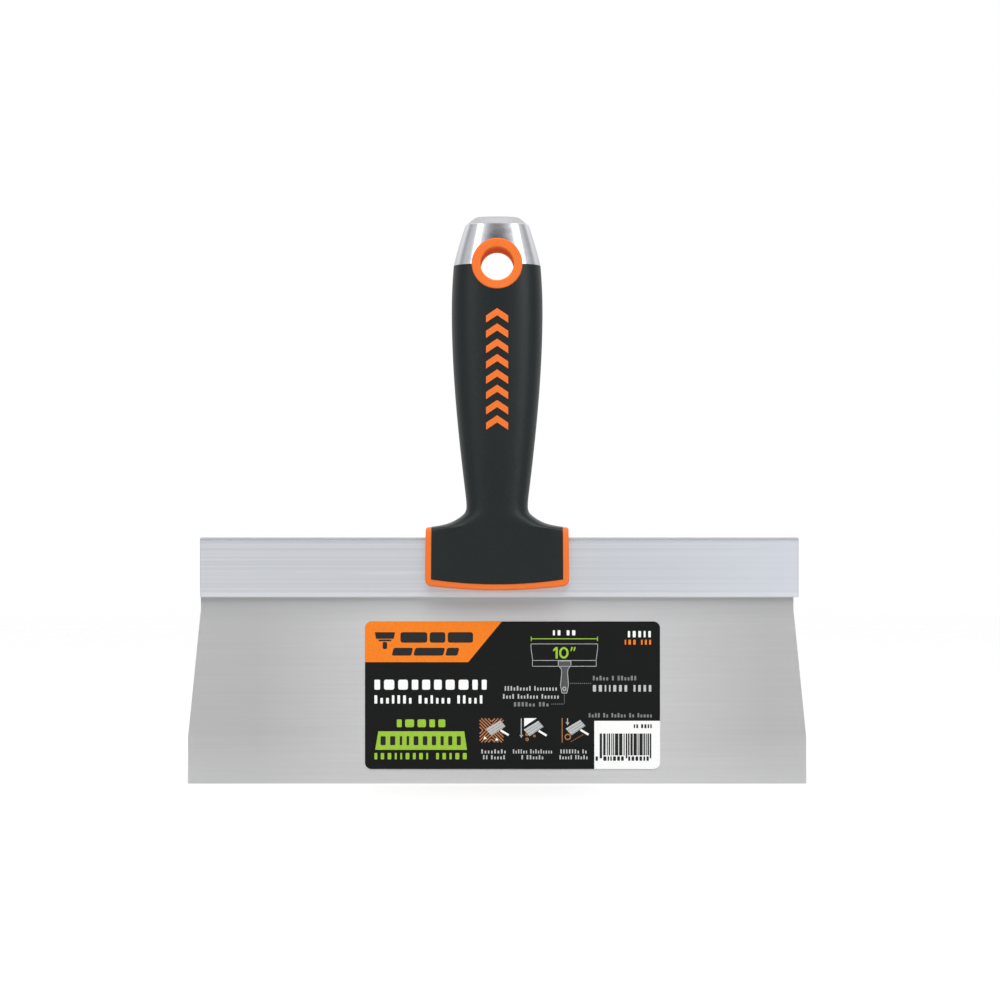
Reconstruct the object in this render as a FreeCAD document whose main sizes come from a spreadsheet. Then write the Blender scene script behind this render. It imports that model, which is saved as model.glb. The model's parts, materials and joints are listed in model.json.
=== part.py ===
"""Drywall taping knife with a ten inch blade, a backbone and a hammer-capped soft grip.

Millimetres.  +Z runs up the handle, X runs along the working edge, the front faces -Y and the
origin is the middle of the working edge, in the blade's mid plane.
"""
import FreeCAD, Part
import math
import os
import sys

import Sketcher
from FreeCAD import Vector

DIMENSIONS = {
    # blade
    "blade_width": 254.0,
    "blade_upper_width": 243.4,
    "blade_side_height": 19.0,
    "blade_taper_top": 71.7,
    "blade_height": 95.0,
    "blade_thickness": 0.5,
    "blade_corner_radius": 6.0,
    # backbone: an aluminium extrusion that stands a little off centre on the blade
    "backbone_length": 245.6,
    "backbone_shift": 0.9,
    "backbone_bottom": 76.6,
    "backbone_top": 101.1,
    "backbone_thickness": 3.2,
    "backbone_nose_radius": 1.1,
    "backbone_chamfer": 0.4,
    "bead_depth": 0.15,
    "bead_width": 0.4,
    "bead_from_top": 1.7,
    "bead_from_bottom": 1.9,
    # tang: a flat steel stamping behind the backbone
    "tang_thickness": 2.0,
    "tang_foot_width": 50.0,
    "tang_foot_bottom": 84.5,
    "tang_foot_top": 98.5,
    "tang_stem_width": 14.0,
    "tang_eye_diameter": 24.0,
    "tang_foot_radius": 3.0,
    "tang_root_radius": 5.0,
    # rivets that hold the tang, the backbone and the blade together
    "rivet_count": 4,
    "rivet_pitch": 13.0,
    "rivet_height": 91.0,
    "rivet_diameter": 4.0,
    "rivet_head_diameter": 7.4,
    "rivet_head_height": 1.3,
    "rivet_head_rim": 0.5,
    # shoulder of the handle: an orange frame round a soft pad, front and rear
    "shoulder_width": 58.9,
    "shoulder_draft": 0.25,
    "shoulder_top": 105.8,
    "shoulder_bottom": 79.6,
    "shoulder_sagitta": 2.0,
    "shoulder_depth": 15.6,
    "shoulder_thinning": 1.6,
    "shoulder_swell": 0.3,
    "shoulder_roll": 1.5,
    "shoulder_corner_radius": 2.6,
    "shoulder_top_radius": 0.9,
    "shoulder_edge_radius": 0.7,
    "frame_width": 2.45,
    "pad_depth": 1.8,
    # grip: half widths and half depths of its oval section
    "neck_height": 114.7,
    "neck_half_width": 12.5,
    "neck_half_depth": 9.6,
    "flare_reach": 15.0,
    "flare_rise": 9.0,
    "flare_overreach": 6.0,
    "flare_trim": 0.2,
    "pad_stand": 0.15,
    "belly_height": 195.0,
    "belly_half_width": 18.8,
    "belly_half_depth": 13.6,
    "grip_top": 212.5,
    "end_half_width": 17.85,
    "end_half_depth": 12.9,
    "section_squareness": 0.80,
    "shoulder_squareness": 0.96,
    "soft_thickness": 2.6,
    "inlay_stand": 0.25,
    # inlay: a ladder of chevrons moulded with the core
    "chevron_count": 8,
    "chevron_pitch": 6.2,
    "chevron_bottom": 145.0,
    "chevron_width": 9.0,
    "chevron_rise": 3.0,
    "chevron_stroke": 2.9,
    # hammer cap
    "cap_shoulder_height": 229.1,
    "cap_shoulder_half_width": 13.0,
    "cap_shoulder_half_depth": 9.4,
    "cap_top": 232.4,
    "cap_face_half_width": 8.6,
    "cap_face_half_depth": 5.4,
    "cap_bulge": 0.35,
    "cap_face_roll": 0.15,
    "cap_face_thickness": 8.0,
    "skirt_thickness": 1.2,
    "skirt_bottom": 198.5,
    # eyelet of the hang hole, in two halves
    "hole_diameter": 13.6,
    "eyelet_barrel_diameter": 17.0,
    "eyelet_flange_diameter": 20.6,
    "eyelet_depth": 27.2,
    "eyelet_flange_thickness": 2.6,
    "eyelet_lip_diameter": 15.3,
    "eyelet_lip_length": 4.0,
    "eyelet_edge_radius": 0.5,
    # label on the blade
    "label_width": 121.2,
    "label_height": 60.6,
    "label_thickness": 0.15,
    "label_corner_radius": 2.7,
    "label_centre_across": 6.3,
    "label_centre_height": 36.3,
}

# how far the control rows of the moulded forms stand from the dimensions that they belong to
FLARE_ANGLES = (12, 36, 60)
GRIP_CLIMBS = (-2.5, 4, 13, 27, 45, 63, 80)
GRIP_ENDING = (8, 0.3, 0.2)

ORIGIN_POINT = (-1, 1)

doc = FreeCAD.newDocument("taping_knife")


def make_sheet():
    """Put every driving dimension in a cell, as plain text with an alias."""
    cells = doc.addObject("Spreadsheet::Sheet", "dims")
    for row, (alias, value) in enumerate(DIMENSIONS.items(), start=1):
        cells.set(f"A{row}", alias)
        cells.set(f"B{row}", str(value))
        cells.setAlias(f"B{row}", alias)
    doc.recompute()
    return cells


sheet = make_sheet()


def value(expression):
    """The present value of an expression in the sheet's aliases."""
    return float(sheet.evalExpression(expression))


def cells_in(expression):
    """Write an expression in the sheet's aliases the way another object reads it."""
    words = []
    word = ""
    for letter in expression + " ":
        if letter.isalnum() or letter == "_":
            word += letter
            continue
        words.append("dims." + word if word in DIMENSIONS else word)
        words.append(letter)
        word = ""
    return "".join(words).strip()


def bind(obj, prop, expression):
    """Bind one property to an expression in the sheet's aliases."""
    obj.setExpression(prop, cells_in(expression))


# ---------------------------------------------------------------- sketches

def new_body(label):
    body = doc.addObject("PartDesign::Body", label)
    body.Label = label
    return body


def new_sketch(body, name, plane):
    """A sketch on one of the body's own origin planes, named by its role."""
    sketch = body.newObject("Sketcher::SketchObject", name)
    support = [item for item in body.Origin.OriginFeatures if item.Role == plane][0]
    sketch.AttachmentSupport = [(support, "")]
    sketch.MapMode = "FlatFace"
    return sketch


def hold(sketch, constraint, name, expression):
    """Add a constraint whose datum follows an expression."""
    index = sketch.addConstraint(constraint)
    sketch.renameConstraint(index, name)
    bind(sketch, f"Constraints.{name}", expression)


def hold_point(sketch, geometry, end, name, place):
    """Hold a point at a pair of expressions from the sketch's origin."""
    across, up = place
    for kind, axis, expression in (("DistanceX", "across", across), ("DistanceY", "up", up)):
        constraint = Sketcher.Constraint(kind, *ORIGIN_POINT, geometry, end, value(expression))
        hold(sketch, constraint, f"{name}_{axis}", expression)


def add_outline(sketch, corners, name="corner"):
    """A closed polygon whose corners are pairs of expressions."""
    points = [Vector(value(across), value(up), 0) for across, up in corners]
    count = len(points)
    first = sketch.GeometryCount
    for index in range(count):
        sketch.addGeometry(Part.LineSegment(points[index], points[(index + 1) % count]))
    for index in range(count):
        following = first + (index + 1) % count
        sketch.addConstraint(Sketcher.Constraint("Coincident", first + index, 2, following, 1))
    for index, corner in enumerate(corners):
        hold_point(sketch, first + index, 1, f"{name}{index}", corner)


def add_circle(sketch, centre, radius, name="circle"):
    """A circle with its centre and radius bound to expressions."""
    across, up = centre
    middle = Vector(value(across), value(up), 0)
    index = sketch.addGeometry(Part.Circle(middle, Vector(0, 0, 1), value(radius)))
    hold_point(sketch, index, 3, name, centre)
    hold(sketch, Sketcher.Constraint("Radius", index, value(radius)), f"{name}_radius", radius)


def mirrored_outline(half):
    """Both halves of an outline given by its right-hand corners, from the bottom up."""
    left = [(f"-({across})", up) for across, up in reversed(half)]
    return half + left


# ---------------------------------------------------------------- features

def pad(body, name, sketch, length):
    """A pad to both sides of the sketch's plane."""
    feature = body.newObject("PartDesign::Pad", name)
    feature.Profile = sketch
    feature.Midplane = True
    bind(feature, "Length", length)
    doc.recompute()
    return feature


def pocket_through(body, name, sketch):
    """A pocket through the whole body, to both sides of the sketch's plane."""
    before = body.Shape.Volume
    feature = body.newObject("PartDesign::Pocket", name)
    feature.Profile = sketch
    feature.Midplane = True
    feature.Type = "ThroughAll"
    doc.recompute()
    if body.Shape.Volume >= before:
        sys.exit(f"{name} cuts nothing")
    return feature


def pattern(body, name, feature, direction, length, count):
    """Repeat a feature in a row."""
    row = body.newObject("PartDesign::LinearPattern", name)
    row.Originals = [feature]
    row.Direction = direction
    bind(row, "Length", length)
    bind(row, "Occurrences", count)
    body.Tip = row
    doc.recompute()
    return row


def edges_where(shape, wanted):
    """The names of the edges whose middle and direction pass a test."""
    names = []
    for number, edge in enumerate(shape.Edges, start=1):
        middle = edge.valueAt((edge.FirstParameter + edge.LastParameter) / 2)
        if wanted(middle, edge):
            names.append(f"Edge{number}")
    return names


def dress(body, kind, name, wanted, size):
    """Fillet or chamfer the edges of the body's tip that pass a test."""
    base = body.Tip
    names = edges_where(base.Shape, wanted)
    if not names:
        sys.exit(f"{name} finds no edge")
    feature = body.newObject(f"PartDesign::{kind}", name)
    feature.Base = (base, names)
    bind(feature, "Radius" if kind == "Fillet" else "Size", size)
    doc.recompute()
    return feature


def near(first, second):
    return abs(first - second) < 0.01


def runs_along(edge, axis):
    """True for a straight edge parallel to an axis."""
    span = edge.Vertexes[-1].Point - edge.Vertexes[0].Point
    return edge.Length > 0.01 and near(abs(span.dot(axis)), edge.Length)


ALONG_X = Vector(1, 0, 0)
ALONG_Y = Vector(0, 1, 0)
ALONG_Z = Vector(0, 0, 1)


def boolean(kind, name, base, tools):
    """Cut tools from a base, or fuse or keep the common part of them all."""
    if kind == "Cut":
        result = doc.addObject("Part::Cut", name)
        result.Base = base
        result.Tool = tools[0] if len(tools) == 1 else joined(f"{name}_tools", tools)
    elif kind == "Common":
        result = doc.addObject("Part::Common", name)
        result.Base = base
        result.Tool = tools[0]
    else:
        result = doc.addObject("Part::MultiFuse", name)
        result.Shapes = [base] + tools
    result.Label = name
    doc.recompute()
    return result


def joined(name, members):
    """One compound of several objects, to cut with all of them at once."""
    compound = doc.addObject("Part::Compound", name)
    compound.Links = members
    doc.recompute()
    return compound


# ---------------------------------------------------------------- moulded forms

def oval(height, half_width, half_depth, squareness):
    """Control points of a closed cubic section, between an ellipse and a rounded oblong."""
    reach = 3 / (squareness + 2)
    wide = half_width * reach
    deep = half_depth * reach
    corner_wide = wide * squareness
    corner_deep = deep * squareness
    ring = [(wide, 0), (corner_wide, corner_deep), (0, deep), (-corner_wide, corner_deep),
            (-wide, 0), (-corner_wide, -corner_deep), (0, -deep), (corner_wide, -corner_deep)]
    return [Vector(across, along, height) for across, along in ring]


def moulded_solid(name, rows):
    """A smooth closed solid from the rows of a control net, each an oval section.

    The net is cubic both ways, so the surface never swings past its rows.
    """
    poles = [oval(*row) for row in rows]
    around = len(poles[0])
    inner = len(rows) - 4
    knots_up = [float(index) for index in range(inner + 2)]
    mults_up = [4] + [1] * inner + [4]
    knots_round = [float(index) for index in range(around + 1)]
    surface = Part.BSplineSurface()
    surface.buildFromPolesMultsKnots(
        poles, mults_up, [1] * (around + 1), knots_up, knots_round, False, True, 3, 3)
    skin = surface.toShape()
    ends = [Part.Face(Part.Wire([edge])) for edge in skin.Edges
            if near(edge.BoundBox.ZLength, 0)]
    shell = Part.makeShell([skin] + ends)
    shell.sewShape()
    feature = doc.addObject("Part::Feature", name)
    feature.Shape = Part.makeSolid(shell)
    feature.Label = name
    return feature


def swelling(height, at_neck, at_belly):
    """A quarter wave from the neck's size up to the belly's, and on past it."""
    rise = value("belly_height - neck_height")
    turn = math.pi / 2 * (height - value("neck_height")) / rise
    return value(at_neck) + value(f"{at_belly} - {at_neck}") * math.sin(turn)


def shoulder_rows():
    """Rows of the shoulder, which reach past the frame that trims them, and of the flare.

    The shoulder thickens upwards, and a quarter ellipse carries its top in to the neck.
    """
    square = value("shoulder_squareness")
    wide = value("shoulder_width / 2 + flare_overreach")
    deep = value("shoulder_depth / 2")
    swollen = deep + value("shoulder_swell")
    rows = [
        (value("shoulder_bottom - 4"), wide, deep - value("shoulder_thinning"), square),
        (value("shoulder_bottom + 8"), wide, deep - value("shoulder_thinning / 2"), square),
        (value("shoulder_top - 7"), wide, deep, square),
        (value("shoulder_top - 1"), wide - value("shoulder_roll"), swollen, square),
    ]
    for step, angle in enumerate(FLARE_ANGLES, start=1):
        turn = math.radians(angle)
        blend = step / (len(FLARE_ANGLES) + 1)
        rows.append((
            value("neck_height - flare_trim") - value("flare_rise") * math.cos(turn),
            value("neck_half_width - flare_trim") + value("flare_reach") * (1 - math.sin(turn)),
            swollen + (value("neck_half_depth") - swollen) * blend,
            square + (value("section_squareness") - square) * blend))
    return rows


def column_rows():
    """Rows of a plain column under the neck, for what runs down inside the shoulder."""
    return [(value(height), value("neck_half_width"), value("neck_half_depth"),
             value("section_squareness"))
            for height in ("shoulder_bottom", "backbone_top", "shoulder_top")]


def grip_rows(foot, growth):
    """Rows of the grip above a foot: it swells to its belly and draws in at the cap."""
    plump = value("section_squareness")
    neck = value("neck_height")
    end = value("grip_top")
    rows = list(foot)
    for climb in GRIP_CLIMBS:
        height = neck + climb
        rows.append((height, swelling(height, "neck_half_width", "belly_half_width"),
                     swelling(height, "neck_half_depth", "belly_half_depth"), plump))
    before_end, less_wide, less_deep = GRIP_ENDING
    rows.append((end - before_end, value("belly_half_width") - less_wide,
                 value("belly_half_depth") - less_deep, plump))
    rows.append((end, value("end_half_width"), value("end_half_depth"), plump))
    return [(height, half_wide + growth, half_deep + growth, k)
            for height, half_wide, half_deep, k in rows]


def cap_rows(inset, top):
    """Rows of the hammer cap's tapering side, from the grip up to a given height."""
    low = value("grip_top")
    rows = []
    for part in (0, 1 / 3, 2 / 3, 1):
        bulge = value("cap_bulge") * math.sin(math.pi * part)
        rows.append((
            low + (top - low) * part,
            value("end_half_width") * (1 - part) + value("cap_shoulder_half_width") * part
            + bulge - inset,
            value("end_half_depth") * (1 - part) + value("cap_shoulder_half_depth") * part
            + bulge - inset,
            value("section_squareness")))
    return rows


def bevel_rows():
    """Rows of the bevel between the cap's side and its striking face."""
    low = (value("cap_shoulder_height"), value("cap_shoulder_half_width"),
           value("cap_shoulder_half_depth"))
    high = (value("cap_top"), value("cap_face_half_width"), value("cap_face_half_depth"))
    rows = []
    for part in (0, 0.4, 0.8, 1):
        blend = [a + (b - a) * part for a, b in zip(low, high)]
        rows.append((*blend, value("section_squareness")))
    # the last stretch rolls over into the flat striking face
    rows[-2] = (value("cap_top - cap_face_roll"), *rows[-2][1:])
    return rows


# ---------------------------------------------------------------- blade and backbone

def make_blade():
    """Thin stainless sheet: upright at the working edge, then tapering in to the backbone."""
    body = new_body("blade")
    sketch = new_sketch(body, "blade_outline", "XZ_Plane")
    add_outline(sketch, mirrored_outline([
        ("blade_width / 2", "0"),
        ("blade_width / 2", "blade_side_height"),
        ("blade_upper_width / 2", "blade_taper_top"),
        ("blade_upper_width / 2", "blade_height"),
    ]))
    pad(body, "blade_sheet", sketch, "blade_thickness")
    bends = (DIMENSIONS["blade_side_height"], DIMENSIONS["blade_taper_top"])
    dress(body, "Fillet", "blade_bends",
          lambda middle, edge: runs_along(edge, ALONG_Y)
          and any(near(middle.z, bend) for bend in bends),
          "blade_corner_radius")
    cut_rivet_holes(body)
    return body


def cut_rivet_holes(body):
    """The row of rivet holes that the blade, the backbone and the tang share."""
    sketch = new_sketch(body, f"{body.Label}_rivet_hole", "XZ_Plane")
    across = "-(rivet_pitch * (rivet_count - 1) / 2)"
    if body.Label == "backbone":
        across += " - backbone_shift"
    add_circle(sketch, (across, "rivet_height"), "rivet_diameter / 2")
    hole = pocket_through(body, f"{body.Label}_first_hole", sketch)
    pattern(body, f"{body.Label}_holes", hole, (sketch, ["H_Axis"]),
            "rivet_pitch * (rivet_count - 1)", "rivet_count")


def make_backbone():
    """Aluminium extrusion with a rounded nose on top and a slot that takes the blade."""
    body = new_body("backbone")
    sketch = new_sketch(body, "backbone_section", "YZ_Plane")
    add_outline(sketch, mirrored_outline([
        ("blade_thickness / 2", "blade_height"),
        ("blade_thickness / 2", "backbone_bottom"),
        ("backbone_thickness / 2", "backbone_bottom"),
        ("backbone_thickness / 2", "backbone_top"),
    ]))
    pad(body, "backbone_bar", sketch, "backbone_length")
    top = DIMENSIONS["backbone_top"]
    bottom = DIMENSIONS["backbone_bottom"]
    face = DIMENSIONS["backbone_thickness"] / 2
    dress(body, "Fillet", "backbone_nose",
          lambda middle, edge: runs_along(edge, ALONG_X) and near(middle.z, top),
          "backbone_nose_radius")
    dress(body, "Chamfer", "backbone_heel",
          lambda middle, edge: runs_along(edge, ALONG_X) and near(middle.z, bottom)
          and near(abs(middle.y), face),
          "backbone_chamfer")
    dress(body, "Chamfer", "backbone_ends",
          lambda middle, edge: runs_along(edge, ALONG_Z) and near(abs(middle.y), face),
          "backbone_chamfer")
    for name, low in (("upper_beads", "backbone_top - bead_from_top"),
                      ("lower_beads", "backbone_bottom + bead_from_bottom")):
        beads = new_sketch(body, name, "YZ_Plane")
        for side, sign in (("front", "-1"), ("rear", "1")):
            deep = f"{sign} * (backbone_thickness / 2 - bead_depth)"
            clear = f"{sign} * (backbone_thickness / 2 + 1)"
            add_outline(beads, [(deep, low), (clear, low), (clear, f"{low} + bead_width"),
                                (deep, f"{low} + bead_width")], side)
        pocket_through(body, f"{name}_cut", beads)
    cut_rivet_holes(body)
    bind(body, "Placement.Base.x", "backbone_shift")
    doc.recompute()
    return body


# ---------------------------------------------------------------- tang and rivets

def make_tang():
    """Steel stamping: a foot riveted behind the backbone, a stem, and an eye in the cap.

    The stem's end bears on the underside of the striking face, so a blow goes down the steel.
    """
    body = new_body("tang")
    sketch = new_sketch(body, "tang_outline", "XZ_Plane")
    add_outline(sketch, mirrored_outline([
        ("tang_foot_width / 2", "tang_foot_bottom"),
        ("tang_foot_width / 2", "tang_foot_top"),
        ("tang_stem_width / 2", "tang_foot_top"),
        ("tang_stem_width / 2", "cap_top - cap_face_thickness"),
    ]))
    pad(body, "tang_plate", sketch, "tang_thickness")
    foot = DIMENSIONS["tang_foot_width"] / 2
    root = DIMENSIONS["tang_stem_width"] / 2
    level = DIMENSIONS["tang_foot_top"]
    dress(body, "Fillet", "tang_foot_corners",
          lambda middle, edge: runs_along(edge, ALONG_Y) and near(abs(middle.x), foot),
          "tang_foot_radius")
    dress(body, "Fillet", "tang_root",
          lambda middle, edge: runs_along(edge, ALONG_Y) and near(abs(middle.x), root)
          and near(middle.z, level),
          "tang_root_radius")
    eye = new_sketch(body, "tang_eye", "XZ_Plane")
    add_circle(eye, ("0", "grip_top"), "tang_eye_diameter / 2")
    pad(body, "tang_eye_plate", eye, "tang_thickness")
    hole = new_sketch(body, "tang_eye_hole", "XZ_Plane")
    add_circle(hole, ("0", "grip_top"), "eyelet_barrel_diameter / 2")
    pocket_through(body, "tang_eye_bore", hole)
    cut_rivet_holes(body)
    bind(body, "Placement.Base.y", "(backbone_thickness + tang_thickness) / 2")
    doc.recompute()
    return body


def make_tang_rivets():
    """Rivets through the backbone, the blade and the tang's foot, with low rounded heads."""
    body = new_body("tang_rivets")
    sketch = new_sketch(body, "rivet_section", "XY_Plane")
    front = "-(backbone_thickness / 2)"
    rear = "backbone_thickness / 2 + tang_thickness"
    first = "-(rivet_pitch * (rivet_count - 1) / 2)"
    edge = f"{first} + rivet_head_diameter / 2"
    flat = f"{first} + rivet_head_diameter / 3"
    shank = f"{first} + rivet_diameter / 2"
    add_outline(sketch, [
        (first, f"{front} - rivet_head_height"),
        (flat, f"{front} - rivet_head_height"),
        (edge, f"{front} - rivet_head_rim"),
        (edge, front),
        (shank, front),
        (shank, rear),
        (edge, rear),
        (edge, f"{rear} + rivet_head_rim"),
        (flat, f"{rear} + rivet_head_height"),
        (first, f"{rear} + rivet_head_height"),
    ])
    turned = body.newObject("PartDesign::Revolution", "rivet")
    turned.Profile = sketch
    turned.ReferenceAxis = (sketch, ["Edge10"])
    turned.Angle = 360
    doc.recompute()
    pattern(body, "rivet_row", turned, (sketch, ["H_Axis"]),
            "rivet_pitch * (rivet_count - 1)", "rivet_count")
    bind(body, "Placement.Base.z", "rivet_height")
    doc.recompute()
    return body


# ---------------------------------------------------------------- eyelet

def make_eyelet(label, section):
    """One half of the hang hole's eyelet, turned about the hole's axis."""
    body = new_body(label)
    sketch = new_sketch(body, f"{label}_section", "XY_Plane")
    add_outline(sketch, section)
    turned = body.newObject("PartDesign::Revolution", f"{label}_turned")
    turned.Profile = sketch
    turned.ReferenceAxis = (sketch, ["V_Axis"])
    turned.Angle = 360
    doc.recompute()
    flange = DIMENSIONS["eyelet_depth"] / 2
    rim = DIMENSIONS["eyelet_flange_diameter"] / 2
    bore = DIMENSIONS["hole_diameter"] / 2
    dress(body, "Fillet", f"{label}_rim",
          lambda middle, edge: near(abs(middle.y), flange)
          and any(near(math.hypot(middle.x, middle.z), radius) for radius in (rim, bore)),
          "eyelet_edge_radius")
    bind(body, "Placement.Base.z", "grip_top")
    doc.recompute()
    return body


BORE = "hole_diameter / 2"
BARREL = "eyelet_barrel_diameter / 2"
FLANGE = "eyelet_flange_diameter / 2"
LIP = "eyelet_lip_diameter / 2"


def make_eyelet_front():
    """Front half: flange, barrel, and a lip that snaps into the rear half."""
    face = "-(eyelet_depth / 2)"
    seat = f"{face} + eyelet_flange_thickness"
    return make_eyelet("hang_hole_eyelet_front", [
        (BORE, face), (FLANGE, face), (FLANGE, seat), (BARREL, seat), (BARREL, "0"),
        (LIP, "0"), (LIP, "eyelet_lip_length"), (BORE, "eyelet_lip_length")])


def make_eyelet_rear():
    """Rear half: its barrel's counterbore takes the front half's lip."""
    face = "eyelet_depth / 2"
    seat = f"{face} - eyelet_flange_thickness"
    return make_eyelet("hang_hole_eyelet_rear", [
        (LIP, "0"), (BARREL, "0"), (BARREL, seat), (FLANGE, seat), (FLANGE, face),
        (BORE, face), (BORE, "eyelet_lip_length"), (LIP, "eyelet_lip_length")])


def make_hang_bore():
    """The hole through the eyelet, a little wide, to clear what lies inside its rounded rim."""
    bore = doc.addObject("Part::Cylinder", "hang_bore")
    bind(bore, "Radius", "hole_diameter / 2 + eyelet_edge_radius")
    bind(bore, "Height", "eyelet_depth * 2")
    bore.Placement = FreeCAD.Placement(Vector(0, 0, 0), FreeCAD.Rotation(ALONG_X, -90))
    bind(bore, "Placement.Base.y", "-eyelet_depth")
    bind(bore, "Placement.Base.z", "grip_top")
    doc.recompute()
    return bore


# ---------------------------------------------------------------- hammer cap

def slab(name, low, high):
    """A wide block between two heights, which keeps a stretch of a moulded form."""
    block = doc.addObject("Part::Box", name)
    bind(block, "Length", "shoulder_width * 2")
    bind(block, "Width", "shoulder_width * 2")
    bind(block, "Height", f"({high}) - ({low})")
    bind(block, "Placement.Base.x", "-shoulder_width")
    bind(block, "Placement.Base.y", "-shoulder_width")
    bind(block, "Placement.Base.z", low)
    doc.recompute()
    return block


def make_hammer_cap(eyelets):
    """Metal cap with a thick striking face, and a skirt let in under the soft grip."""
    side = moulded_solid("cap_side", cap_rows(0, value("cap_shoulder_height")))
    bevel = moulded_solid("cap_bevel", bevel_rows())
    skirt_form = moulded_solid("skirt_form", grip_rows(column_rows(), -value("soft_thickness")))
    skirt = boolean("Common", "cap_skirt", skirt_form,
                    [slab("skirt_stretch", "skirt_bottom", "grip_top")])
    whole = boolean("Fuse", "cap_outside", side, [bevel, skirt])
    lining = value("soft_thickness + skirt_thickness")
    lower_form = moulded_solid("hollow_form", grip_rows(column_rows(), -lining))
    lower = boolean("Common", "cap_lower_hollow", lower_form,
                    [slab("hollow_stretch", "skirt_bottom", "grip_top")])
    roof = value("cap_top - cap_face_thickness")
    upper = moulded_solid("cap_upper_hollow", cap_rows(lining, roof))
    hollow = boolean("Fuse", "cap_hollow", lower, [upper])
    cap = boolean("Cut", "hammer_cap", whole, [hollow] + eyelets)
    return cap, hollow


# ---------------------------------------------------------------- handle core and soft grip

def shoulder_prism(label, inset, top):
    """A deep block with the shoulder's outline: sides drafted inwards, lower edge bowed."""
    body = new_body(label)
    sketch = new_sketch(body, f"{label}_outline", "XZ_Plane")
    half = f"shoulder_width / 2 - {inset}"
    corner = f"shoulder_bottom + shoulder_sagitta + {inset}"
    upper = f"{half} - shoulder_draft"
    corners = [(half, corner), (upper, top), (f"-({upper})", top), (f"-({half})", corner)]
    points = [Vector(value(across), value(up), 0) for across, up in corners]
    low = Vector(0, value(f"shoulder_bottom + {inset}"), 0)
    for index in range(3):
        sketch.addGeometry(Part.LineSegment(points[index], points[index + 1]))
    sketch.addGeometry(Part.Arc(points[3], low, points[0]))
    for first, second in ((0, 1), (1, 2)):
        sketch.addConstraint(Sketcher.Constraint("Coincident", first, 2, second, 1))
    sketch.addConstraint(Sketcher.Constraint("Coincident", 3, 1, 2, 2))
    sketch.addConstraint(Sketcher.Constraint("Coincident", 3, 2, 0, 1))
    for index in range(3):
        hold_point(sketch, index, 1, f"corner{index}", corners[index])
    hold_point(sketch, 2, 2, "corner3", corners[3])
    bow = f"(({half}) ^ 2 + shoulder_sagitta ^ 2) / (2 * shoulder_sagitta)"
    hold(sketch, Sketcher.Constraint("Radius", 3, value(bow)), "bow", bow)
    pad(body, f"{label}_block", sketch, "shoulder_depth * 2")
    return body


def make_shoulder_block():
    """The frame as a full block, before the pads and the saddle are let in."""
    prism = shoulder_prism("shoulder_prism", "0", "shoulder_top")
    side = DIMENSIONS["shoulder_width"] / 2
    top = DIMENSIONS["shoulder_top"]
    dress(prism, "Fillet", "shoulder_lower_corners",
          lambda middle, edge: runs_along(edge, ALONG_Y) and near(abs(middle.x), side)
          and middle.z < top - 1,
          "shoulder_corner_radius")
    dress(prism, "Fillet", "shoulder_upper_corners",
          lambda middle, edge: runs_along(edge, ALONG_Y) and near(middle.z, top),
          "shoulder_top_radius")
    form = moulded_solid("frame_form", grip_rows(shoulder_rows(), -value("pad_stand")))
    block = boolean("Common", "shoulder_block", form, [prism])
    faces = [number for number, edge in enumerate(block.Shape.Edges, start=1)
             if lies_on_face(edge)]
    softened = doc.addObject("Part::Fillet", "shoulder_softened")
    softened.Base = block
    softened.Edges = [(number, value("shoulder_edge_radius"), value("shoulder_edge_radius"))
                      for number in faces]
    doc.recompute()
    return softened


def lies_on_face(edge):
    """True for an edge that stays near the shoulder's front or rear."""
    return min(abs(point.y) for point in edge.discretize(7)) > value("shoulder_depth / 3")


def make_pad_region():
    """The room that the soft grip takes round the shoulder: both faces and the top."""
    prism = shoulder_prism("pad_prism", "frame_width", "neck_height")
    form = moulded_solid("kernel_form", grip_rows(shoulder_rows(), -value("pad_depth")))
    kernel = boolean("Common", "shoulder_kernel", form,
                     [slab("kernel_stretch", "shoulder_bottom - 1", "shoulder_top - pad_depth")])
    return prism, boolean("Cut", "pad_region", prism, [kernel])


def make_chevrons():
    """Upright row of chevrons that stand through the soft grip, front and rear."""
    body = new_body("chevrons")
    sketch = new_sketch(body, "chevron_outline", "XZ_Plane")
    tip = "chevron_bottom + chevron_rise"
    add_outline(sketch, [
        ("-(chevron_width / 2)", "chevron_bottom"),
        ("0", tip),
        ("chevron_width / 2", "chevron_bottom"),
        ("chevron_width / 2", "chevron_bottom + chevron_stroke"),
        ("0", f"{tip} + chevron_stroke"),
        ("-(chevron_width / 2)", "chevron_bottom + chevron_stroke"),
    ])
    first = pad(body, "chevron", sketch, "belly_half_depth * 4")
    pattern(body, "chevron_ladder", first, (sketch, ["V_Axis"]),
            "chevron_pitch * (chevron_count - 1)", "chevron_count")
    return body


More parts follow.
